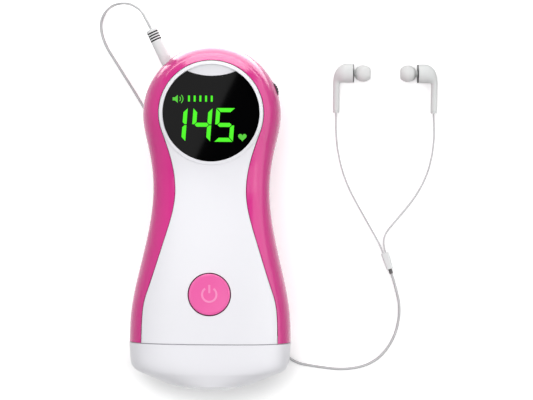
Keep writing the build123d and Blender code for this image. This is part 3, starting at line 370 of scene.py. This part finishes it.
# ---- Cords ----
MAIN_D = 1.2 * MM
BRANCH_D = 0.8 * MM
CORD_STEPS = 12
CORD_ROUNDNESS = 5
FLOOR_MAIN = 0.6             # height of a cord's middle where it lies on the surface
FLOOR_BRANCH = 0.4
PLUG_REAR = JACK_MOUTH + JACK_OUT * PLUG_REACH
SPLIT_FOOT = Vector((79.9, -22.6, 1.2))
SPLIT_HEAD = Vector((77.5, -15.4, 1.2))
SPLIT_WAY = (SPLIT_HEAD - SPLIT_FOOT).normalized()
SPLIT_ACROSS = Vector((SPLIT_WAY.y, -SPLIT_WAY.x, 0.0))
SPLIT_COLLAR = 2.2
BUD_X = (62.9, 91.3)
BUD_Y = 64.9
BUD_Z = 4.2
STEM_X = 7.72
STEM_REACH = 17.7
STEM_END_Z = 1.42
BUD_LEAN = math.asin((BUD_Z - STEM_END_Z) / STEM_REACH)
STRAIGHT_PLUG = 5.0          # straight run of a cord out of the plug, the collar and a stem
STRAIGHT_COLLAR = 6.0
STRAIGHT_STEM = 2.2

MAIN_ROUTE = [
    PLUG_REAR, PLUG_REAR + JACK_OUT * STRAIGHT_PLUG,
    (-32.2, 91.8, 17.5), (-38.5, 95.3, 10.5), (-46.4, 94.5, 3.6), (-51.3, 88.0, FLOOR_MAIN),
    (-49.7, 78.5, FLOOR_MAIN), (-43.2, 68.2, FLOOR_MAIN), (-34.0, 53.8, FLOOR_MAIN),
    (-25.6, 39.5, FLOOR_MAIN), (-17.6, 26.0, FLOOR_MAIN), (-8.5, 14.5, FLOOR_MAIN),
    (4.5, 8.6, FLOOR_MAIN), (17.0, 3.5, FLOOR_MAIN), (25.8, -8.0, FLOOR_MAIN),
    (28.9, -24.0, FLOOR_MAIN), (29.4, -40.0, FLOOR_MAIN), (31.0, -57.6, FLOOR_MAIN),
    (36.2, -64.8, FLOOR_MAIN), (47.5, -66.9, FLOOR_MAIN), (61.5, -68.3, FLOOR_MAIN),
    (74.3, -64.5, FLOOR_MAIN), (82.4, -53.8, FLOOR_MAIN), (84.9, -41.0, FLOOR_MAIN),
    SPLIT_FOOT - SPLIT_WAY * (SPLIT_COLLAR + STRAIGHT_COLLAR), SPLIT_FOOT - SPLIT_WAY * SPLIT_COLLAR,
]
BRANCH_MIDDLES = [
    [(75.6, -12.2, 1.2), (71.9, -5.6, FLOOR_BRANCH), (66.0, 4.6, FLOOR_BRANCH), (60.2, 15.4, FLOOR_BRANCH),
     (56.7, 26.5, FLOOR_BRANCH), (55.3, 36.5, FLOOR_BRANCH)],
    [(76.8, -12.2, 1.2), (77.4, -7.0, FLOOR_BRANCH), (82.6, -0.8, FLOOR_BRANCH), (90.6, 8.8, FLOOR_BRANCH),
     (96.3, 19.2, FLOOR_BRANCH), (98.9, 30.0, FLOOR_BRANCH), (99.5, 38.0, FLOOR_BRANCH)],
]
BRANCH_OFFSETS = (-0.75, 0.4)


def stem_foot(side):
    """End of an earpiece's stem and the way the cord leaves it; side is 0 on the left and 1 on the right."""
    along = Vector((0.0, -math.cos(BUD_LEAN), -math.sin(BUD_LEAN)))
    head = Vector((BUD_X[side] + (STEM_X if side else -STEM_X), BUD_Y, BUD_Z))
    return head + along * STEM_REACH, along


def branch_route(side):
    end, along = stem_foot(side)
    start = SPLIT_HEAD + SPLIT_ACROSS * BRANCH_OFFSETS[side]
    return [start] + BRANCH_MIDDLES[side] + [end + along * STRAIGHT_STEM, end]


def cord_curve(name, route, diameter, node, material):
    """Smooth tube through a route given in millimetres; it replaces the plain tube of the frame."""
    points = [Vector(p) * MM for p in route]
    data = bpy.data.curves.new(name, "CURVE")
    data.dimensions = "3D"
    spline = data.splines.new("NURBS")
    spline.points.add(len(points) - 1)
    for target, point in zip(spline.points, points):
        target.co = (point.x, point.y, point.z, 1.0)
    spline.order_u = 3
    spline.use_endpoint_u = True
    spline.resolution_u = CORD_STEPS
    data.bevel_depth = diameter / 2
    data.bevel_resolution = CORD_ROUNDNESS
    data.use_fill_caps = True
    data.materials.append(MATERIALS[material])
    piece = bpy.data.objects.new(name, data)
    bpy.context.scene.collection.objects.link(piece)
    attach(piece, "root")
    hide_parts(node)


def make_cords():
    cord_curve("main_cord_smooth", MAIN_ROUTE, MAIN_D, "main_cord", "cord")
    for side, name in enumerate(("left", "right")):
        cord_curve(name + "_branch_cord_smooth", branch_route(side), BRANCH_D, name + "_branch_cord",
                   "thin_cord")


# ---- Floor, dark card and world; from here on sizes are in metres ----
FLOOR_HALF = 6.0
FLOOR_TONE = 0.86
FLOOR_BOUNCE = 0.5           # darker tone that the floor has for the light it throws on the object
FLOOR_GLOW = 0.45            # makes the pale floor a full white
# middle of the painted shade on the floor under the base
SHADE_AT = (0.0, -0.066, 0.0)
SHADE_SQUEEZE = (0.5, 1.0, 1.0)  # the shade is twice as wide as it is deep
SHADE_REACH = (0.012, 0.024)     # from its middle to where it starts to fade and where it ends
SHADE_GLOW = 0.25            # share of the glow that is left in the shade
CARD_HALF = 0.7
CARD_Z = 1.4
WORLD_LEVEL = 0.25


def rays_that_see(tree):
    """Output that is 1 for the rays that show a background: camera, glossy and transmission rays."""
    path = add_node(tree, "LightPath")
    seen = path.outputs["Is Camera Ray"]
    for ray in ("Is Glossy Ray", "Is Transmission Ray"):
        seen = add_math(tree, "MAXIMUM", seen, path.outputs[ray])
    return seen


def floor_material():
    """White matte surface with a painted shade under the base, where its glow is lower and the real shadow
    shows through; it throws less light on the object than it shows.
    """
    material, tree, output = blank_material("floor")
    path = add_node(tree, "LightPath")
    tone = add_node(tree, "Mix")
    tone.data_type = "RGBA"
    tone.inputs["A"].default_value = [FLOOR_TONE] * 3 + [1.0]
    tone.inputs["B"].default_value = [FLOOR_BOUNCE] * 3 + [1.0]
    tree.links.new(path.outputs["Is Diffuse Ray"], tone.inputs["Factor"])
    matte = add_node(tree, "BsdfDiffuse")
    tree.links.new(tone.outputs["Result"], matte.inputs["Color"])
    place = add_node(tree, "TexCoord")
    squeeze = add_node(tree, "VectorMath")
    squeeze.operation = "MULTIPLY"
    squeeze.inputs[1].default_value = SHADE_SQUEEZE
    tree.links.new(place.outputs["Object"], squeeze.inputs[0])
    away = add_node(tree, "VectorMath")
    away.operation = "DISTANCE"
    away.inputs[1].default_value = SHADE_AT
    tree.links.new(squeeze.outputs["Vector"], away.inputs[0])
    level = add_node(tree, "MapRange", From_Min=SHADE_REACH[0], From_Max=SHADE_REACH[1],
                     To_Min=FLOOR_GLOW * SHADE_GLOW, To_Max=FLOOR_GLOW)
    level.interpolation_type = "SMOOTHSTEP"
    tree.links.new(away.outputs["Value"], level.inputs["Value"])
    glow = add_node(tree, "Emission")
    strength = add_math(tree, "MULTIPLY", rays_that_see(tree), level.outputs["Result"])
    tree.links.new(strength, glow.inputs["Strength"])
    both = add_node(tree, "AddShader")
    tree.links.new(matte.outputs[0], both.inputs[0])
    tree.links.new(glow.outputs[0], both.inputs[1])
    tree.links.new(both.outputs[0], output.inputs["Surface"])
    return material


def flat_square(name, half, z, material):
    mesh = bpy.data.meshes.new(name)
    corners = [(-half, -half, z), (half, -half, z), (half, half, z), (-half, half, z)]
    mesh.from_pydata(corners, [], [(0, 1, 2, 3)])
    mesh.materials.append(material)
    square = bpy.data.objects.new(name, mesh)
    bpy.context.scene.collection.objects.link(square)
    return square


def make_floor():
    floor = flat_square("floor", FLOOR_HALF, 0.0, floor_material())


def make_dark_card():
    """Black card high above, seen only in reflections, that keeps the display window black."""
    card = flat_square("dark_card", CARD_HALF, CARD_Z, MATERIALS["groove"])
    card.visible_camera = False
    card.visible_diffuse = False
    card.visible_transmission = False
    card.visible_shadow = False


def make_world():
    """Even light from all round, seen as white by camera, glossy and transmission rays."""
    world = bpy.data.worlds.new("world")
    bpy.context.scene.world = world
    world.use_nodes = True
    tree = world.node_tree
    tree.nodes.clear()
    output = add_node(tree, "OutputWorld")
    sky = add_node(tree, "Background")
    strength = add_node(tree, "MapRange", To_Min=WORLD_LEVEL, To_Max=1.0)
    tree.links.new(rays_that_see(tree), strength.inputs["Value"])
    tree.links.new(strength.outputs[0], sky.inputs["Strength"])
    tree.links.new(sky.outputs[0], output.inputs["Surface"])


# ---- Lamps: name, place, aim, size, power in watts, turn about the own axis in degrees ----
# A lamp whose name starts with gloss is seen in reflections alone.
LAMPS = [
    ("lamp_key", (-0.433, 0.286, 1.2), (-0.433, 0.286, 0.0), (0.9, 1.2), 9.0, -25.5),
    ("lamp_top", (0.03, 1.0, 0.6), (0.0, 0.05, 0.0), (1.3, 0.8), 5.2, 0.0),
    ("gloss_high", (0.06, 0.62, 0.11), (0.06, 0.0, 0.11), (0.75, 0.22), 6.2, 0.0),
    ("gloss_low", (0.045, 0.40, 0.002), (0.045, 0.40, 1.0), (0.5, 0.4), 7.2, 0.0),
    ("gloss_near", (0.012, 0.14, 0.002), (0.012, 0.14, 1.0), (0.13, 0.12), 0.26, 0.0),
    ("gloss_right", (0.6, 0.0, 0.25), (0.0, 0.0, 0.25), (1.1, 0.5), 6.5, 0.0),
    ("gloss_left", (-0.6, 0.0, 0.25), (0.0, 0.0, 0.25), (0.9, 0.5), 1.2, 0.0),
    ("lamp_right", (0.95, -0.1, 1.0), (0.0, 0.0, 0.0), (0.6, 0.9), 5.0, 0.0),
    ("lamp_front", (0.0, -1.0, 0.6), (0.0, 0.0, 0.0), (1.4, 0.5), 2.3, 0.0),
]


def make_lamp(name, place, aim, size, power, turn):
    """Soft rectangular lamp that the camera doesn't see."""
    data = bpy.data.lights.new(name, "AREA")
    data.shape = "RECTANGLE"
    data.size, data.size_y = size
    data.energy = power
    lamp = bpy.data.objects.new(name, data)
    way = (Vector(aim) - Vector(place)).to_track_quat("-Z", "Y").to_matrix().to_4x4()
    lamp.matrix_world = Matrix.Translation(place) @ way @ Matrix.Rotation(math.radians(turn), 4, "Z")
    lamp.visible_camera = False
    lamp.visible_diffuse = not name.startswith("gloss")
    bpy.context.scene.collection.objects.link(lamp)


make_camera()
make_cords()
dress_nodes()
make_speaker_sign()
make_heart_sign()
make_power_sign()
make_grooves()
make_gap_shade()
make_floor()
make_dark_card()
make_world()
for lamp in LAMPS:
    make_lamp(*lamp)
bpy.context.scene.view_settings.view_transform = "Standard"
